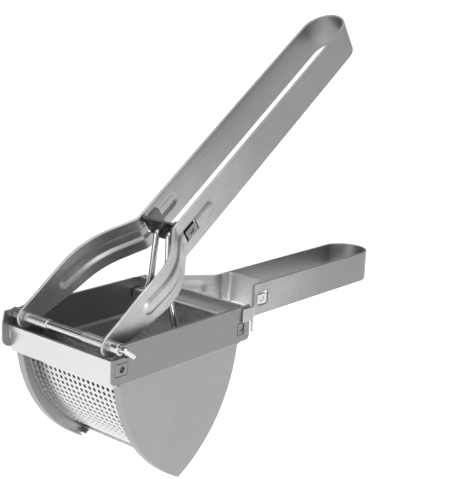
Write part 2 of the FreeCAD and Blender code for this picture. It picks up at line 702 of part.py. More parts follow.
# ---- brace wires -----------------------------------------------------------------------
# Drawn at rest: from a hook behind the bracket, through its hole, and down to the pusher.
rest = math.radians(rest_angle)
lift = math.radians(rest_angle + leg_lift)
leg_dir = V(0, math.cos(lift), math.sin(lift))
leg_up = V(0, -leg_dir.z, leg_dir.y)
hinge = V(0, rod_y, rod_z)
lift_point = hinge + V(0, math.cos(rest), math.sin(rest)) * lift_at
hole_at = lift_point + leg_dir * (bracket_at - lift_at) + leg_up * wire_up
foot_angle = end_angle - math.degrees(4.5 / pusher_r)
foot_y, foot_z = arc_point(front_arc_y, pusher_r - pusher_sheet, foot_angle)
foot = Part.Vertex(V(0, foot_y, foot_z))
foot.rotate(hinge, V(1, 0, 0), rest_tilt)
foot_point = foot.Point


def rounded_path(points, radii):
    """Wire of straight runs joined by tangent arcs."""
    edges = []
    here = points[0]
    for before, corner, after, radius in zip(points, points[1:], points[2:], radii):
        back = (before - corner).normalize()
        onward = (after - corner).normalize()
        angle = back.getAngle(onward)
        cut = radius / math.tan(angle / 2)
        enter, leave = corner + back * cut, corner + onward * cut
        bisector = (back + onward).normalize()
        middle = corner + bisector * (radius / math.sin(angle / 2) - radius)
        edges.append(Part.LineSegment(here, enter).toShape())
        edges.append(Part.Arc(enter, middle, leave).toShape())
        here = leave
    edges.append(Part.LineSegment(here, points[-1]).toShape())
    return Part.Wire(edges)


def brace_wire(side):
    hole = hole_at + V(wire_aside + side * wire_half, 0, 0)
    hook = hole + leg_dir * (bracket_sheet + wire_hook)
    out = hole - leg_dir * (wire_bend_r + 0.3)
    toward = V(side * wire_foot_half, foot_point.y, foot_point.z)
    knee = V(wire_aside + side * wire_knee_half, foot_point.y, out.z - wire_splay_drop)
    path = rounded_path([hook, out, knee, toward], [wire_bend_r, wire_knee_r])
    circle = Part.Wire(Part.makeCircle(wire_d / 2, hook, leg_dir))
    wire = path.makePipeShell([circle], True, True)
    knob = Part.makeSphere(wire_d / 2, toward)
    stop = Part.makeCylinder(wire_d / 2 + 1.0, 1.4, hole + leg_dir * bracket_sheet, leg_dir)
    return wire.fuse([knob, stop])


pusher = turned(pusher, rest_tilt)
for side, name in ((1, "brace_wire_right"), (-1, "brace_wire_left")):
    wire = brace_wire(side).cut(pusher)
    biggest = max(wire.Solids, key=lambda s: s.Volume)
    save(biggest, name)
save(pusher.removeSplitter(), "pusher_plate")

# ---- lower handle ----------------------------------------------------------------------
handle_low = handle_top + handle_width
lap_x = band_out + handle_sheet / 2
handle_half = [(lap_end - handle_wrap, lap_x), (lap_end + 1.2, lap_x), (handle_bend, handle_leg)]
handle_radii = [2.2, 8.0]
tip_y = handle_end - handle_sheet / 2
handle_path = handle_half + [(tip_y, handle_leg), (tip_y, -handle_leg)]
handle_path = handle_path + [(p, -q) for p, q in reversed(handle_half)]
all_radii = handle_radii + [handle_leg, handle_leg] + handle_radii[::-1]


def handle_ribbon(points, radii, left, right, z0, z1):
    return span(ribbon(points, radii, left, right, plan), V(0, 0, 1), z0, z1)


handle = handle_ribbon(handle_path, all_radii, handle_sheet / 2, -handle_sheet / 2, -handle_low, -handle_top)
lap_foot = -handle_top - handle_tongue
relief_end = lap_end + handle_relief
relief = [(0, lap_foot), (lap_end, lap_foot), (relief_end, -handle_low), (relief_end, -handle_low - 1)]
relief.append((0, -handle_low - 1))
lap_room = span(outline(relief, [0, 2.0, 0, 0, 0], across), V(1, 0, 0), -60, 60)
handle = handle.cut(lap_room)
run_x, run_y = handle_leg - lap_x, handle_bend - lap_end - 1.2
run = math.hypot(run_x, run_y)
bead_from = (lap_end + 1.2 + run_y * handle_bead_from / run, lap_x + run_x * handle_bead_from / run)
bead_to = (handle_bend - run_y * (handle_bead_to + 4) / run, handle_leg - run_x * (handle_bead_to + 4) / run)
bead_z = -handle_bead_drop
strip_mid_z = -(handle_top + handle_width / 2)


def handle_bead(low, high, width, side):
    bar = handle_ribbon([bead_from, bead_to], [], high, low, bead_z - width / 2, bead_z + width / 2)
    normal = V(run_y / run, -run_x / run, 0)
    for y, x in (bead_from, bead_to):
        cap = Part.makeCylinder(width / 2, high - low, V(x, y, bead_z) + normal * low, normal)
        bar = bar.fuse(cap)
    return bar if side > 0 else mirrored(bar)


for side in (1, -1):
    outside = handle_sheet / 2
    handle = handle.fuse(handle_bead(outside - 0.2, outside + bead_height, handle_bead_width, side))
    handle = handle.cut(handle_bead(-outside - 0.2, -outside + bead_height, handle_bead_width - 1.6, side))
slot = box(-60, 60, cross_tab_at - tab_length / 2 - tab_play, cross_tab_at + tab_length / 2 + tab_play,
           strip_mid_z - tab_height / 2 - tab_play, strip_mid_z + tab_height / 2 + tab_play)
handle = handle.cut(slot)
save(handle.removeSplitter(), "handle_strip")

handle_in = handle_leg - handle_sheet / 2
seat_x = handle_in - bracket_mid
u_path = [(cross_at - cross_return, seat_x), (cross_at - bracket_mid, seat_x)]
u_path = u_path + [(cross_at - bracket_mid, -seat_x), (cross_at - cross_return, -seat_x)]
cross = handle_ribbon(u_path, [2.5, 2.5], bracket_mid, -bracket_mid, -handle_low + cross_low, -handle_top)
tab = leg_tab(cross_tab_at, strip_mid_z, handle_in, handle_sheet)
save(cross.fuse([tab, mirrored(tab)]).removeSplitter(), "handle_cross_plate")
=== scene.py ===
import json
import math

import bmesh
import bpy
from mathutils import Matrix, Vector


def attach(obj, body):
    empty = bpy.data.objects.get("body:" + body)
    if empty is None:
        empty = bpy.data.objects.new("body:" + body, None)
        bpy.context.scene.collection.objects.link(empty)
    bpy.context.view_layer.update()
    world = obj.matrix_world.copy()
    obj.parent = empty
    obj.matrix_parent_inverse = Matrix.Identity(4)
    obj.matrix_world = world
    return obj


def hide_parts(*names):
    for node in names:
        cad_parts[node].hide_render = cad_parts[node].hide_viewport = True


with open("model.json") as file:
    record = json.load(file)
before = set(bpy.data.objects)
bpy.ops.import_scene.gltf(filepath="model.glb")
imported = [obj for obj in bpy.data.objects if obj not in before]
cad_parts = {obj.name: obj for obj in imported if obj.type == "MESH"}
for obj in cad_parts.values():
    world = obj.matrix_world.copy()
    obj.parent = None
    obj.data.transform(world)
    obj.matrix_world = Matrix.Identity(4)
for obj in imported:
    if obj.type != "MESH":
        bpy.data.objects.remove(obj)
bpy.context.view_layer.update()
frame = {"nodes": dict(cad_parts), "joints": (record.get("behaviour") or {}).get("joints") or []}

# ==== side plates ====
# Two shields of stainless sheet, each with a straight band joggled outwards along its top and
# a narrow flange turned inwards round its arcs. The band's upper edge is folded over, and both
# shields are spot-welded to the curved walls between them.

MM = 0.001
nodes = frame["nodes"]
hinge = Vector(frame["joints"][0]["pos_m"])
hinge_behind_rail = 4.5
hinge_below_rim = 3.0
rail_origin = hinge + Vector((0, -hinge_behind_rail * MM, hinge_below_rim * MM))
weld = 0.02 * MM                # corners closer than this are one
crease = math.radians(18)       # faces that turn by more than this meet at a sharp edge


def place(x, y, z):
    """Point in metres from millimetres: across, back from the front rail, up from the rim."""
    return rail_origin + Vector((x, y, z)) * MM


class Shade:
    """A socket of a finish or of the surround. Sums on it add Math nodes; make() adds any other."""

    def __init__(self, tree, socket=None):
        self.tree = tree
        self.socket = socket

    def make(self, kind, settings, inputs, output=0):
        """Adds a node: its settings first, then the values or links of its sockets."""
        node = self.tree.nodes.new(kind)
        for name, value in settings.items():
            if name == "stops":
                self.set_stops(node.color_ramp.elements, value)
            else:
                setattr(node, name, value)
        for name, value in inputs.items():
            if isinstance(value, Shade):
                self.tree.links.new(value.socket, node.inputs[name])
            else:
                node.inputs[name].default_value = value
        return Shade(self.tree, node.outputs[output])

    def set_stops(self, ramp, stops):
        """Gives a ramp its grey stops, each a position and a tone, from low to high."""
        ramp.remove(ramp[1])
        ramp[0].position = stops[0][0]
        for position, tone in stops[1:]:
            ramp.new(position)
        for stop, (position, tone) in zip(ramp, stops):
            stop.color = (tone, tone, tone, 1)

    def maths(self, operation, a, b=0.0):
        return self.make("ShaderNodeMath", {"operation": operation}, {0: a, 1: b})

    def __add__(self, other):
        return self.maths("ADD", self, other)

    def __radd__(self, other):
        return self.maths("ADD", other, self)

    def __sub__(self, other):
        return self.maths("SUBTRACT", self, other)

    def __rsub__(self, other):
        return self.maths("SUBTRACT", other, self)

    def __mul__(self, other):
        return self.maths("MULTIPLY", self, other)

    def __rmul__(self, other):
        return self.maths("MULTIPLY", other, self)


def steel(name, dark, light, rough, grain, grain_depth, scratch, coords="Object", shaded_end=None):
    """Stainless steel: fine lines along one direction, faint smears and a few scratches.
    grain is the lines' frequency per metre along each axis of the coordinates. shaded_end is painted
    shade along a strip: the middle of the length that is painted darkest, how far from it the darkest
    part reaches, and how far from it the steel is unshaded again."""
    material = bpy.data.materials.new(name)
    material.use_nodes = True
    tree = material.node_tree
    tree.nodes.clear()
    start = Shade(tree)
    spot = start.make("ShaderNodeTexCoord", {}, {}, coords)

    def noise(vector, scale, detail, roughness=0.5, distortion=0.0):
        return start.make("ShaderNodeTexNoise", {}, {
            "Vector": vector, "Scale": scale, "Detail": detail,
            "Roughness": roughness, "Distortion": distortion})

    along_grain = start.make("ShaderNodeMapping", {}, {"Vector": spot, "Scale": grain})
    lines = noise(along_grain, 1.0, 4.0, roughness=0.65)
    smear = noise(spot, 38.0, 3.0, roughness=0.55)
    cloud = noise(spot, 130.0, 2.0, distortion=0.6)
    turned = start.make("ShaderNodeMapping", {}, {
        "Vector": spot, "Rotation": (0.5, 0.9, 0.7), "Scale": (900, 38, 900)})
    stops = [(0.0, 0.0), (0.655, 0.0), (0.675, 1.0), (0.7, 0.0)]
    nicks = start.make("ShaderNodeValToRGB", {"stops": stops}, {"Fac": noise(turned, 1.0, 1.0)})
    nicks = start.make("ShaderNodeRGBToBW", {}, {"Color": nicks}) * scratch
    tone = lines * 0.55 + smear * 0.45 + nicks * 0.5 - 0.02
    # Painted shade: the tone is darkened to 0.3 of itself round the middle of shaded_end along the strip.
    if shaded_end:
        middle, darkest_reach, unshaded_reach = shaded_end
        along_strip = start.make("ShaderNodeSeparateXYZ", {}, {"Vector": spot}, "X")
        away = start.maths("ABSOLUTE", along_strip - middle)
        tone = tone * start.make("ShaderNodeMapRange", {"interpolation_type": "SMOOTHSTEP"}, {
            "Value": away, "From Min": darkest_reach, "From Max": unshaded_reach, "To Min": 0.3, "To Max": 1.0}, "Result")
    # The Mix node's sockets 6 and 7 are its two colours, and its output 2 is the mixed one.
    colour = start.make("ShaderNodeMix", {"data_type": "RGBA"}, {
        "Factor": tone, 6: (*dark, 1), 7: (*light, 1)}, 2)
    roughness = rough + lines * 0.12 + (smear - 0.5) * 0.16 + (cloud - 0.5) * 0.05 - 0.06 + nicks * 0.12
    bump = start.make("ShaderNodeBump", {}, {
        "Height": lines + cloud * 0.25 - nicks * 0.6, "Strength": grain_depth, "Distance": 0.00006})
    surface = start.make("ShaderNodeBsdfPrincipled", {}, {
        "Base Color": colour, "Metallic": 1.0, "Roughness": roughness, "Normal": bump})
    out = tree.nodes.new("ShaderNodeOutputMaterial")
    tree.links.new(surface.socket, out.inputs["Surface"])
    return material


def add_object(name, data):
    """New object in the scene."""
    added = bpy.data.objects.new(name, data)
    bpy.context.scene.collection.objects.link(added)
    return added


def settle(piece):
    """Turns a piece's modifiers into its mesh."""
    graph = bpy.context.evaluated_depsgraph_get()
    mesh = bpy.data.meshes.new_from_object(piece.evaluated_get(graph))
    piece.modifiers.clear()
    piece.data = mesh


def soften(piece, edge, angle=38):
    """Rounds a sheet's cut edges so that they catch the light."""
    bevel = piece.modifiers.new("edge", "BEVEL")
    bevel.width = edge * MM
    bevel.segments = 2
    bevel.limit_method = "ANGLE"
    bevel.angle_limit = math.radians(angle)
    bevel.use_clamp_overlap = False
    bevel.miter_outer = "MITER_ARC"
    settle(piece)
    for face in piece.data.polygons:
        face.use_smooth = True
    normals = piece.modifiers.new("normals", "WEIGHTED_NORMAL")
    normals.keep_sharp = True
    normals.weight = 100


def finished_from(node, name, body, material, edge=0):
    """Piece on its node's own faces, with its edges rounded by edge where that is given."""
    mesh = nodes[node].data.copy()
    work = bmesh.new()
    work.from_mesh(mesh)
    bmesh.ops.remove_doubles(work, verts=work.verts, dist=weld)
    work.normal_update()
    work.to_mesh(mesh)
    work.free()
    mesh.materials.clear()
    mesh.materials.append(material)
    for layer in ("custom_normal", "sharp_edge", "sharp_face"):
        if layer in mesh.attributes:
            mesh.attributes.remove(mesh.attributes[layer])
    piece = add_object(name, mesh)
    if edge:
        soften(piece, edge)
    else:
        mesh.shade_smooth()
        mesh.set_sharp_from_angle(angle=crease)
    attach(piece, body)
    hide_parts(node)
    return piece


def paint_shade_on(piece, material, chosen):
    """Gives the faces that chosen picks by their centre a second material, a painted-shade copy of steel.
    """
    piece.data.materials.append(material)
    for face in piece.data.polygons:
        if chosen(face.center):
            face.material_index = 1


plate_steel = steel("plate_steel", dark=(0.27, 0.27, 0.275), light=(0.39, 0.39, 0.395), rough=0.36,
                    grain=(900, 60, 900), grain_depth=0.14, scratch=0.6)
# Painted shade: the band above the joggle is a darker copy of the plate's steel.
band_painted_shade_steel = steel("band_painted_shade_steel", dark=(0.20, 0.20, 0.205), light=(0.31, 0.31, 0.315), rough=0.34,
                   grain=(900, 60, 900), grain_depth=0.14, scratch=0.6)
band_foot = place(0, 0, -20.9).z
rim_radius = 0.4
rim_turn = 1.0                  # radians: the folded rim's corners turn by more than this
rim_run = 20 * MM               # and its straight edges are longer than this


def round_rim(plate):
    """Rounds the long edges of a side plate's folded rim."""
    work = bmesh.new()
    work.from_mesh(plate.data)
    rim = []
    for edge in work.edges:
        at_top = all(abs(vertex.co.z - rail_origin.z) < weld for vertex in edge.verts)
        if not at_top or len(edge.link_faces) != 2:
            continue
        if edge.calc_face_angle() > rim_turn and edge.calc_length() > rim_run:
            rim.append(edge)
    bmesh.ops.bevel(work, geom=rim, offset=rim_radius * MM, segments=6, profile=0.5,
                    affect="EDGES", clamp_overlap=True)
    work.to_mesh(plate.data)
    work.free()
    plate.data.shade_smooth()
    plate.data.set_sharp_from_angle(angle=crease)


for hand in ("right", "left"):
    plate = finished_from(hand + "_side_plate", hand + "_plate", "hopper", plate_steel)
    round_rim(plate)
    paint_shade_on(plate, band_painted_shade_steel, lambda centre: centre.z > band_foot)

# ==== front and rear rails ====
# Folded stainless rails that close the hopper's mouth. Their tabs come out through slots in
# the side plates and are bent back and staked.

rail_steel = steel("rail_steel", dark=(0.56, 0.56, 0.57), light=(0.72, 0.72, 0.73), rough=0.30,
                   grain=(60, 900, 1500), grain_depth=0.10, scratch=0.4)
rail_edge = 0.12
tab_out = 40.5 * MM


def beyond(half):
    """Test for faces that lie further out from the middle than half."""
    return lambda centre: abs(centre.x - rail_origin.x) > half


for end in ("front", "rear"):
    rail = finished_from(end + "_rail", end + "_rail_fold", "hopper", rail_steel, rail_edge)
    # The tabs outside the side plates get the band's painted-shade steel, darker than the rail.
    paint_shade_on(rail, band_painted_shade_steel, beyond(tab_out))

# ==== perforated screen and rear wall ====
# Thin curved sheets: the front one is punched with rows of round holes, the rear one is plain.
# Both are spot-welded to the side plates and meet at the hopper's keel.

screen_steel = steel("screen_steel", dark=(0.56, 0.56, 0.57), light=(0.74, 0.74, 0.75), rough=0.30,
                     grain=(80, 900, 900), grain_depth=0.06, scratch=0.3)
wall_steel = steel("wall_steel", dark=(0.50, 0.50, 0.50), light=(0.70, 0.70, 0.70), rough=0.26,
                   grain=(80, 900, 900), grain_depth=0.08, scratch=0.3)
wall_edge = 0.15
hopper_half = 39.2
screen_radius = 77.2
screen_sheet = 0.8
arc_centre_back = 87.73
arc_centre_below = 12.0
hole_pitch = 3.72
hole_radius = 1.08
hole_columns, hole_rows = 21, 17
hole_sides = 20
dish_wide, dish_deep = 0.16, 0.18       # the sheet is drawn in a little round each hole
screen_top = 5.6
first_row = 16.0
keel_along = screen_radius * math.radians(60.4)
crease_at_hole = math.radians(40)
same_corner = 0.002 * MM


def build(name, work):
    """New object from a finished bmesh."""
    mesh = bpy.data.meshes.new(name)
    work.to_mesh(mesh)
    work.free()
    return add_object(name, mesh)


def on_screen(across, along, radius):
    """Point on the screen: along runs down its curve from the level of the arc's centre."""
    turn = along / screen_radius
    back = arc_centre_back - radius * math.cos(turn)
    return place(across, back, -arc_centre_below - radius * math.sin(turn))


def punched_sheet():
    """Curved sheet with a ring of faces round each hole, cell by cell."""
    work = bmesh.new()
    lines = work.loops.layers.uv.new("lines")
    made = {}
    half = hole_pitch / 2
    ring = [2 * math.pi * (k + 0.5) / hole_sides for k in range(hole_sides)]

    def corner(across, along, depth):
        key = (round(across, 3), round(along, 3), depth)
        if key not in made:
            radius = screen_radius - depth
            made[key] = work.verts.new(on_screen(across, along, radius))
        return made[key]

    def face(points):
        new = work.faces.new([corner(*point) for point in points])
        new.smooth = True
        for loop, point in zip(new.loops, points):
            loop[lines].uv = (point[0] * MM, point[1] * MM)

    def panel(low, high, start, stop):
        """Plain stretch of the sheet, outside and inside."""
        around = [(low, start), (high, start), (high, stop), (low, stop)]
        face([(*point, 0) for point in around])
        face([(*point, screen_sheet) for point in around[::-1]])

    def cut_edge(low, high, along):
        """The sheet's thickness at one of its cut ends."""
        face([(low, along, 0), (low, along, screen_sheet), (high, along, screen_sheet), (high, along, 0)])

    def cell(x, y):
        """Square of the sheet with a dished hole through its middle."""
        rim, mouth, edge = [], [], []
        for angle in ring:
            c, d = math.cos(angle), math.sin(angle)
            stretch = half / max(abs(c), abs(d))
            edge.append((x + c * stretch, y + d * stretch))
            rim.append((x + c * (hole_radius + dish_wide), y + d * (hole_radius + dish_wide)))
            mouth.append((x + c * hole_radius, y + d * hole_radius))
        for k in range(hole_sides):
            n = (k + 1) % hole_sides
            square = [edge[k], edge[n]]
            if abs(edge[k][0] - edge[n][0]) > 1e-6 and abs(edge[k][1] - edge[n][1]) > 1e-6:
                turn = (x + math.copysign(half, edge[k][0] + edge[n][0] - 2 * x),
                        y + math.copysign(half, edge[k][1] + edge[n][1] - 2 * y))
                square = [edge[k], turn, edge[n]]
            outer = [(*point, 0) for point in square]
            inner = [(*point, screen_sheet) for point in square]
            drawn = [(*mouth[n], dish_deep), (*mouth[k], dish_deep)]
            through = [(*mouth[n], screen_sheet), (*mouth[k], screen_sheet)]
            face(outer + [(*rim[n], 0), (*rim[k], 0)])
            face([(*rim[k], 0), (*rim[n], 0)] + drawn)
            face(drawn[::-1] + through)
            face(through[::-1] + inner[::-1])

    for row in range(hole_rows):
        for column in range(hole_columns):
            cell((column - (hole_columns - 1) / 2) * hole_pitch, first_row + row * hole_pitch)
    holes_half = hole_columns * half
    top = first_row - half
    foot = top + hole_rows * hole_pitch
    for low, high in ((-hopper_half, -holes_half), (holes_half, hopper_half)):
        for row in range(hole_rows):
            panel(low, high, top + row * hole_pitch, top + (row + 1) * hole_pitch)
    columns = [(k - hole_columns / 2) * hole_pitch for k in range(hole_columns + 1)]
    columns = [-hopper_half, *columns, hopper_half]
    for start, stop, count in ((screen_top, top, 5), (foot, keel_along, 4)):
        for step in range(count):
            for low, high in zip(columns, columns[1:]):
                panel(low, high, start + (stop - start) * step / count,
                      start + (stop - start) * (step + 1) / count)
    for low, high in zip(columns, columns[1:]):
        cut_edge(low, high, screen_top)
        cut_edge(high, low, keel_along)
    bmesh.ops.remove_doubles(work, verts=work.verts, dist=same_corner)
    bmesh.ops.recalc_face_normals(work, faces=work.faces)
    piece = build("punched_screen", work)
    piece.data.materials.append(screen_steel)
    piece.data.set_sharp_from_angle(angle=crease_at_hole)
    return piece


screen = punched_sheet()
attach(screen, "hopper")
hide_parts("perforated_screen")
finished_from("rear_wall", "back_wall", "hopper", wall_steel, wall_edge)

# ==== hinge rod, bushes and sleeve ====
# A polished steel rod, bent over at one end and headed at the other, held by both side
# plates. Short tubes round it keep the lever's arms and the pusher's knuckles in place.

wire_steel = steel("polished_wire_steel", dark=(0.58, 0.58, 0.58), light=(0.74, 0.74, 0.74), rough=0.10,
                   grain=(300, 300, 300), grain_depth=0.02, scratch=0.2)
sleeve_edge, bush_edge = 0.15, 0.2
finished_from("hinge_rod", "bent_rod", "hopper", wire_steel)
finished_from("centre_sleeve", "middle_sleeve", "lever", wire_steel, sleeve_edge)
for hand in ("left", "right"):
    finished_from("rod_bush_" + hand, hand + "_bush", "lever", wire_steel, bush_edge)

# ==== lever ====
# One long stainless strip folded in half round its loop end, its arms bent apart to meet the
# hinge rod. A bead is pressed outwards along each side through the bend, and the edges are
# dressed round. A U-shaped bridge is clinched between the legs by tabs through their windows.

# The lever's steel carries painted shade, darker towards its loop end.
lever_steel = steel("lever_steel", dark=(0.20, 0.20, 0.20), light=(0.80, 0.80, 0.80), rough=0.38,
                    grain=(70, 1500, 1), grain_depth=0.16, scratch=0.3, coords="UV",
                    shaded_end=(0.294, 0.10, 0.23))
arm_tilt = math.radians(29.4)
leg_tilt = arm_tilt + math.radians(5.9)
lift_at = 82.0                  # where the legs lift from the arms' line
lift_blend = 4.0
strip_sheet = 1.6
strip_half = 10.5
arm_end = 6.0                   # radius of the arm's round end
arm_tip = math.sqrt(0.6)        # half the width left at its very tip
arm_full_at = 46.0
arm_across = 32.2
leg_across = 13.9
arm_bend_at = 55.0
arm_slope = math.tan(math.radians(37))
leg_line_at = arm_bend_at + (arm_across - leg_across) / arm_slope
lever_tip = 275.2
lever_fine_to = 120.0           # the strip is divided finely up to here
lever_fine, leg_step = 1.3, 4.0
arc_step = 1.2
bend_gain = 5.8                 # how much longer the bent strip is than its run, at the bead's end
bead_from, bead_to = 31.0, 106.0
bead_side = 2.8                 # width of the slope along a bead's side
lever_bends = [0, 0, 42, 7, 0, leg_across]
lever_window = ((83.4, -3.9), (94.6, 3.9))
through_legs = (-40, 40)        # a window goes through both legs
lever_edge, strip_turn = 0.32, 50


def smooth(x):
    x = min(max(x, 0.0), 1.0)
    return x * x * (3 - 2 * x)


def stations(points, radii, step):
    """Walks a line with rounded corners: place, outward side and distance at each station."""
    walk = []
    distance = 0.0
    here = Vector(points[0])

    def add(point, side):
        nonlocal distance
        if walk:
            distance += (point - walk[-1][0]).length
        walk.append((point, side, distance))

    for i, corner in enumerate(points[1:], 1):
        corner = Vector(corner)
        ahead = (corner - here).normalized()
        side = Vector((-ahead.y, ahead.x))
        cut = 0.0
        bends = i < len(points) - 1 and radii[i - 1] > 0
        if bends:
            radius = radii[i - 1]
            onward = (Vector(points[i + 1]) - corner).normalized()
            bend = abs(ahead.angle_signed(onward))
            cut = radius * math.tan(bend / 2)
        enter = corner - ahead * cut
        run = (enter - here).length
        if run > 0.01:
            count = max(1, round(run / step(here)))
            for k in range(1 if walk else 0, count + 1):
                add(here.lerp(enter, k / count), side)
        here = enter
        if bends:
            turn = 1 if ahead.x * onward.y - ahead.y * onward.x > 0 else -1
            centre = enter + side * turn * radius
            pieces = max(4, round(bend * radius / arc_step))
            start = math.atan2((enter - centre).y, (enter - centre).x)
            for k in range(1, pieces + 1):
                angle = start + turn * bend * k / pieces
                out = Vector((math.cos(angle), math.sin(angle)))
                add(centre + out * radius, out * -turn)
            here = centre + out * radius
    return walk


def strip_mesh(name, walk, rungs, width_at, bead_at, put, skip):
    """Sheet strip along both halves of a loop. rungs are the heights across it."""
    total = walk[-1][2]
    whole = [(*station, 1) for station in walk] + [(*station, -1) for station in walk[-2::-1]]
    work = bmesh.new()
    lines = work.loops.layers.uv.new("lines")
    rows = []
    for point, side, distance, hand in whole:
        low, high = width_at(point)
        row = []
        for rung in rungs:
            w = low + (high - low) * (rung - rungs[0]) / (rungs[-1] - rungs[0])
            spot = point + side * bead_at(distance, w)
            along = distance if hand > 0 else 2 * total - distance
            row.append((work.verts.new(put(spot.x, hand * spot.y, w)), (along * MM, w * MM), point, w))
        rows.append(row)
    for a, b in zip(rows, rows[1:]):
        for i in range(len(rungs) - 1):
            if skip((a[i][2] + b[i][2]) / 2, (a[i][3] + a[i + 1][3]) / 2):
                continue
            ring = [a[i], b[i], b[i + 1], a[i + 1]]
            face = work.faces.new([corner[0] for corner in ring])
            face.smooth = True
            for loop, corner in zip(face.loops, ring):
                loop[lines].uv = corner[1]
    loose = [vertex for vertex in work.verts if not vertex.link_faces]
    bmesh.ops.delete(work, geom=loose, context="VERTS")
    return build(name, work)


def bead(distance, height, start, stop, middle, half, depth):
    """How far a pressed bead stands out: flat along its middle, with rounded ends."""
    nearest = min(max(distance, start), stop)
    off = math.hypot(distance - nearest, height - middle)
    return depth * smooth((half + bead_side / 2 - off) / bead_side)


def cutter(corners, through, put, rounding):
    """Block with rounded corners that punches a window through a strip."""
    (u0, w0), (u1, w1) = corners
    ring = []
    for cu, cw, start in ((u1, w1, 0), (u0, w1, 90), (u0, w0, 180), (u1, w0, 270)):
        mu = cu - math.copysign(rounding, cu - (u0 + u1) / 2)
        mw = cw - math.copysign(rounding, cw - (w0 + w1) / 2)
        for turned in (0, 22.5, 45, 67.5, 90):
            angle = math.radians(start + turned)
            ring.append((mu + rounding * math.cos(angle), mw + rounding * math.sin(angle)))
    work = bmesh.new()
    for x in through:
        work.faces.new([work.verts.new(put(u, x, w)) for u, w in ring])
    work.verts.ensure_lookup_table()
    count = len(ring)
    for k in range(count):
        n = (k + 1) % count
        work.faces.new([work.verts[k], work.verts[n], work.verts[count + n], work.verts[count + k]])
    bmesh.ops.recalc_face_normals(work, faces=work.faces)
    return build("cutter", work)


def punch(piece, block):
    """Cuts a block's shape out of a piece."""
    cut = piece.modifiers.new("window", "BOOLEAN")
    cut.operation = "DIFFERENCE"
    cut.object = block
    cut.solver = "FAST"
    settle(piece)
    bpy.data.objects.remove(block)


def thicken(piece, sheet):
    """Gives a strip its sheet's thickness, half to each side."""
    solid = piece.modifiers.new("sheet", "SOLIDIFY")
    solid.thickness = sheet * MM
    solid.offset = 0
    solid.use_even_offset = True
    settle(piece)
    work = bmesh.new()
    work.from_mesh(piece.data)
    bmesh.ops.recalc_face_normals(work, faces=work.faces)
    work.to_mesh(piece.data)
    work.free()


def on_lever(along, across, high):
    """Point on the lever at rest: along it from the hinge, across, and up from its centre line."""
    blend = smooth((along - lift_at) / (2 * lift_blend) + 0.5)
    tilt = arm_tilt + (leg_tilt - arm_tilt) * blend
    arm, leg = min(along, lift_at), max(along - lift_at, 0)
    back = arm * math.cos(arm_tilt) + leg * math.cos(leg_tilt) - high * math.sin(tilt)
    rise = arm * math.sin(arm_tilt) + leg * math.sin(leg_tilt) + high * math.cos(tilt)
    return hinge + Vector((across, back, rise)) * MM


def arm_width(point):
    """The arm's lower and upper edge: round at its end, then widening to the full strip."""
    along = point.x
    if along < 0:
        half = max(math.sqrt(max(arm_end ** 2 - along ** 2, 0)), arm_tip)
    elif along < arm_full_at:
        gain = strip_half - arm_end
        half = arm_end + gain * smooth(0.12 + 0.88 * along / arm_full_at)
        half = min(half, arm_end + gain * along / arm_full_at * 1.25)
    else:
        half = strip_half
    return -half, half


def lever_bead(distance, high):
    return bead(distance, high, bead_from + arm_end, bead_to + arm_end + bend_gain,
                middle=0.0, half=3.2, depth=1.2)


edge_rungs = [strip_half, 9.6, 7.6, 5.9]
lever_rungs = [-rung for rung in edge_rungs] + [k * 0.55 for k in range(-10, 11)] + edge_rungs[::-1]
lever_points = [(-arm_end + 0.05, arm_across), (-5.0, arm_across), (0.0, arm_across)]
lever_points += [(arm_bend_at, arm_across), (leg_line_at, leg_across), (lever_fine_to, leg_across)]
lever_points += [(lever_tip, leg_across), (lever_tip, 0)]
lever_walk = stations(lever_points, lever_bends,
                      lambda start: lever_fine if start.x < lever_fine_to else leg_step)
lever_band = strip_mesh("lever_band", lever_walk, lever_rungs, arm_width, lever_bead, on_lever,
                        lambda point, high: False)
thicken(lever_band, strip_sheet)
punch(lever_band, cutter(lever_window, through_legs, on_lever, rounding=1.6))
lever_band.data.materials.append(lever_steel)
soften(lever_band, lever_edge, strip_turn)
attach(lever_band, "lever")
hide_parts("lever_strip")

# Painted shade: the bridge between the legs is coloured nearly black, and its tabs outside the legs get
# the lighter band steel.
bridge_painted_shade_steel = steel("bridge_painted_shade_steel", dark=(0.10, 0.095, 0.09), light=(0.24, 0.23, 0.22), rough=0.3,
                     grain=(900, 900, 60), grain_depth=0.12, scratch=0.4)
bridge_edge = 0.2
bridge_tab_out = 14.8 * MM
bridge = finished_from("lever_bracket", "lever_bridge", "lever", bridge_painted_shade_steel, bridge_edge)
paint_shade_on(bridge, band_painted_shade_steel, beyond(bridge_tab_out))

# ==== brace wires and pusher ====
# Two polished wires hooked through the bridge hold the curved pusher plate to the lever.
# The pusher is stainless sheet, its front edge rolled round the rod in two knuckles.

brace_steel = steel("brace_steel", dark=(0.26, 0.26, 0.26), light=(0.50, 0.50, 0.50), rough=0.14,
                    grain=(300, 300, 300), grain_depth=0.04, scratch=0.3)
pusher_edge = 0.2
for hand in ("left", "right"):
    finished_from("brace_wire_" + hand, hand + "_wire", "lever", brace_steel)
finished_from("pusher_plate", "pusher", "lever", wall_steel, pusher_edge)

# ==== lower handle ====
# The same kind of strip, looped, with its splayed ends welded to the outside of both side
# plates. A bent plate clinched between its legs keeps them apart.

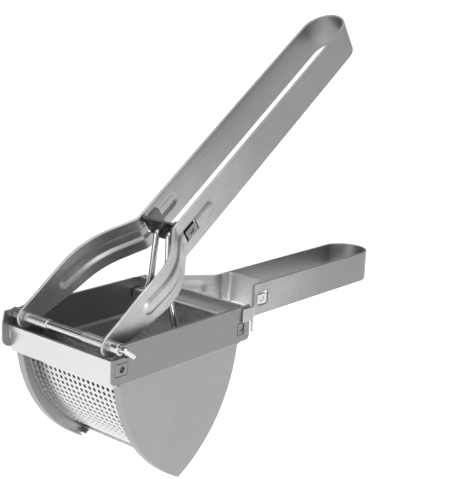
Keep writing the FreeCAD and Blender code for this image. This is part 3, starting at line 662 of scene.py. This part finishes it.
# The handle's steel carries painted shade, darker towards its loop end.
handle_steel = steel("handle_steel", dark=(0.20, 0.20, 0.20), light=(0.66, 0.66, 0.66), rough=0.38,
                     grain=(70, 1500, 1), grain_depth=0.16, scratch=0.3, coords="UV",
                     shaded_end=(0.194, 0.04, 0.16))
handle_sheet = 1.5
handle_top, handle_low = -1.3, -21.3
lap_bottom = -9.3               # the ends that lap the plates are only this deep
lap_edge = 105.4                # as far back as this
relief_from, relief_run = 105.0, 13.0
slant = math.atan2(lap_bottom - handle_low, relief_run)
relief_block = ((0.0, -14.0), (22.0, 0.0))
through_ends = (-60, 60)
band_out = 41.1                 # the outside of the side plates' bands
handle_across = band_out + handle_sheet / 2
handle_leg = 14.6
handle_loop = 275 - handle_sheet / 2
handle_start, splay_from, splay_to = 97.5, 106.2, 141.0
splay_start = splay_from - handle_start
handle_fine_to = 160.0
handle_fine = 1.1
handle_bends = [2.2, 8, 0, handle_leg]
handle_window = ((145.3, -15.4), (155.2, -6.8))
handle_edge, cross_edge = 0.3, 0.2


def on_handle(back, across, high):
    return place(across, back, high)


def on_slant(along, across, off):
    """Point beside the slanted edge of the handle's ends, from its upper end."""
    back = relief_from + along * math.cos(slant) + off * math.sin(slant)
    return on_handle(back, across, lap_bottom - along * math.sin(slant) + off * math.cos(slant))


def handle_bead(distance, high):
    return bead(distance, high, splay_start + 18.0, splay_start + 33.5,
                middle=-8.5, half=3.0, depth=0.8)


def under_lap(point, high):
    return point.x < lap_edge and high < lap_bottom


handle_rungs = [handle_low, -20.0, -17.5, -15.5, -14.0] + [-13.4 + k * 0.5 for k in range(8)]
handle_rungs += [lap_bottom, -8.6, -8.0, -7.2, -6.4] + [-5.8 + k * 0.5 for k in range(8)] + [handle_top]
handle_points = [(handle_start, handle_across), (splay_from, handle_across), (splay_to, handle_leg)]
handle_points += [(handle_fine_to, handle_leg), (handle_loop, handle_leg), (handle_loop, 0)]
handle_walk = stations(handle_points, handle_bends,
                       lambda start: handle_fine if start.x < handle_fine_to else leg_step)
handle_band = strip_mesh("handle_band", handle_walk, handle_rungs, lambda point: (handle_low, handle_top),
                         handle_bead, on_handle, under_lap)
thicken(handle_band, handle_sheet)
punch(handle_band, cutter(handle_window, through_legs, on_handle, rounding=1.4))
punch(handle_band, cutter(relief_block, through_ends, on_slant, rounding=0.6))
handle_band.data.materials.append(handle_steel)
soften(handle_band, handle_edge, strip_turn)
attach(handle_band, "hopper")
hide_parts("handle_strip")
finished_from("handle_cross_plate", "handle_bridge", "hopper", rail_steel, cross_edge)

# ==== floor, light and camera ====
# A plain pale floor well below the object. The surround is pale with a darker band part of the
# way up, and the light is one wide soft sun with a low box to the right and one in front.

reach = 300
floor_drop = 0.4
corners = [(-reach, -reach, 0), (reach, -reach, 0), (reach, reach, 0), (-reach, reach, 0)]
floor_mesh = bpy.data.meshes.new("floor")
floor_mesh.from_pydata(corners, [], [(0, 1, 2, 3)])
floor = add_object("floor", floor_mesh)
floor.location = (0, 0, -floor_drop)
paper = bpy.data.materials.new("floor_paper")
paper.use_nodes = True
paper_inputs = paper.node_tree.nodes["Principled BSDF"].inputs
paper_inputs["Base Color"].default_value = (0.93, 0.93, 0.93, 1)
paper_inputs["Roughness"].default_value = 0.9
floor_mesh.materials.append(paper)

world = bpy.data.worlds.new("surround")
world.use_nodes = True
sky = Shade(world.node_tree)
direction = sky.make("ShaderNodeTexCoord", {}, {}, "Generated")
upward = sky.make("ShaderNodeSeparateXYZ", {}, {"Vector": direction}, "Z")
sky_tones = [(0.0, 0.8), (0.3, 0.7), (0.42, 0.08), (0.62, 0.08), (0.75, 0.6), (1.0, 0.6)]
glow = sky.make("ShaderNodeValToRGB", {"stops": sky_tones}, {"Fac": upward})
world.node_tree.links.new(glow.socket, world.node_tree.nodes["Background"].inputs["Color"])
bpy.context.scene.world = world
object_middle = Vector((0, -0.06, 0.1))


def lamp(name, kind, energy, direction, spread, distance=0):
    """Light that shines along direction; an area light stands back by distance."""
    data = bpy.data.lights.new(name, kind)
    data.energy = energy
    aim = Vector(direction).normalized()
    light = add_object(name, data)
    if kind == "SUN":
        data.angle = math.radians(spread)
    else:
        data.shape = "DISK"
        data.size = spread
        light.location = object_middle - aim * distance
    light.rotation_euler = aim.to_track_quat("-Z", "Y").to_euler()


lamp("key", "SUN", 2.6, (-0.15, 0.25, -1.0), 90)
lamp("side_box", "AREA", 6, (-0.95, 0.25, -0.12), 0.9, 1.5)
lamp("front_box", "AREA", 6, (0.1, 0.9, -0.1), 0.8, 1.6)

# The camera stands to the right of the front, a little above the rim.
azimuth, elevation, roll = math.radians(39.22), math.radians(13.71), math.radians(2.59)
level_ahead = Vector((-math.sin(azimuth), math.cos(azimuth), 0))
forward = level_ahead * math.cos(elevation) - Vector((0, 0, math.sin(elevation)))
level_right = Vector((math.cos(azimuth), math.sin(azimuth), 0))
upright = level_right.cross(forward)
right = level_right * math.cos(roll) + upright * math.sin(roll)
up = upright * math.cos(roll) - level_right * math.sin(roll)
camera_data = bpy.data.cameras.new("camera")
camera_data.sensor_fit = "HORIZONTAL"
camera_data.sensor_width = 36
camera_data.lens = 83.69
camera = add_object("camera", camera_data)
basis = Matrix((right, up, -forward)).transposed()
camera.matrix_world = Matrix.Translation(place(404.4, -357.3, 180.5)) @ basis.to_4x4()
bpy.context.scene.camera = camera
bpy.context.scene.view_settings.view_transform = "Standard"
